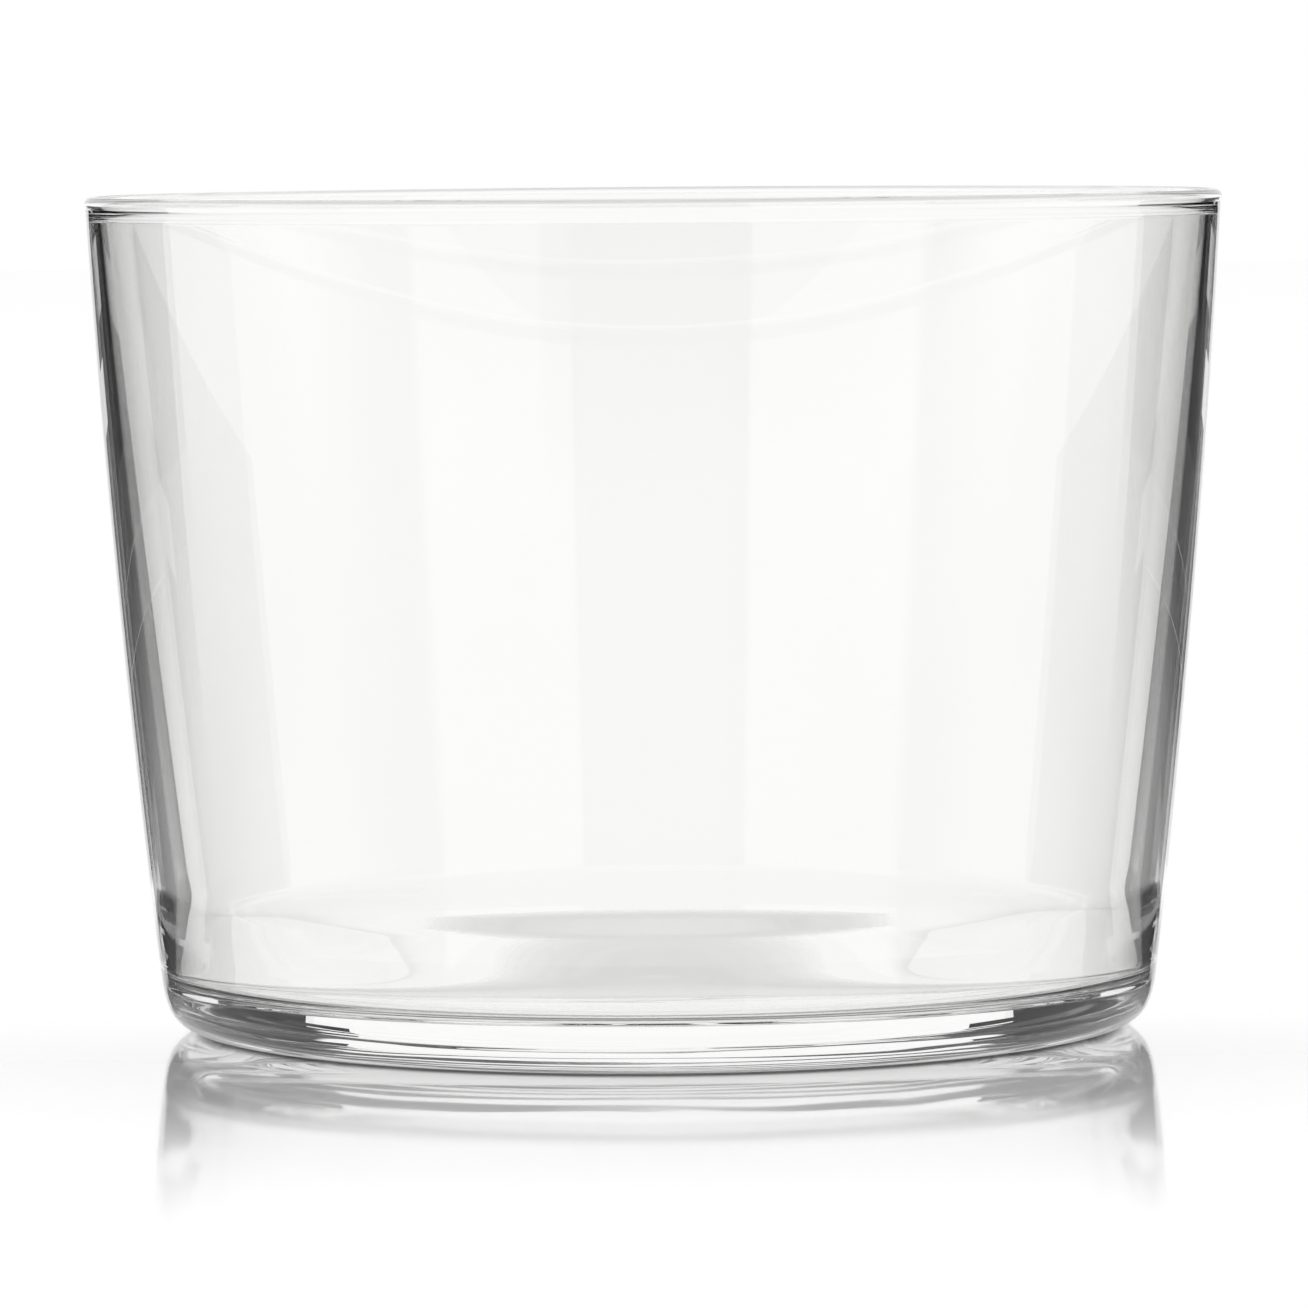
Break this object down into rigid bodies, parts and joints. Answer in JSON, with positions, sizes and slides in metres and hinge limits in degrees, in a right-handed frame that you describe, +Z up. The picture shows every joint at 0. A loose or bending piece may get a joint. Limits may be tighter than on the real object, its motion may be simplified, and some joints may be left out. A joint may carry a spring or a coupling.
{
  "type": "glass tumbler",
  "caption": "Low, wide clear-glass tumbler with thin, gently tapering walls, a round fire-polished lip, a rounded heel and a thick flat base.",
  "frame": {"origin": "centre of the resting plane under the base", "axes": "+Z up along the axis of the glass, from the base to the open rim"},
  "size_m": [0.085, 0.085, 0.0625],
  "materials": {
    "clear_glass": "clear soda-lime glass, pressed and fire-polished, smooth on every face"
  },
  "bodies": {
    "root": {"glass_tumbler": "clear_glass"}
  },
  "joints": []
}
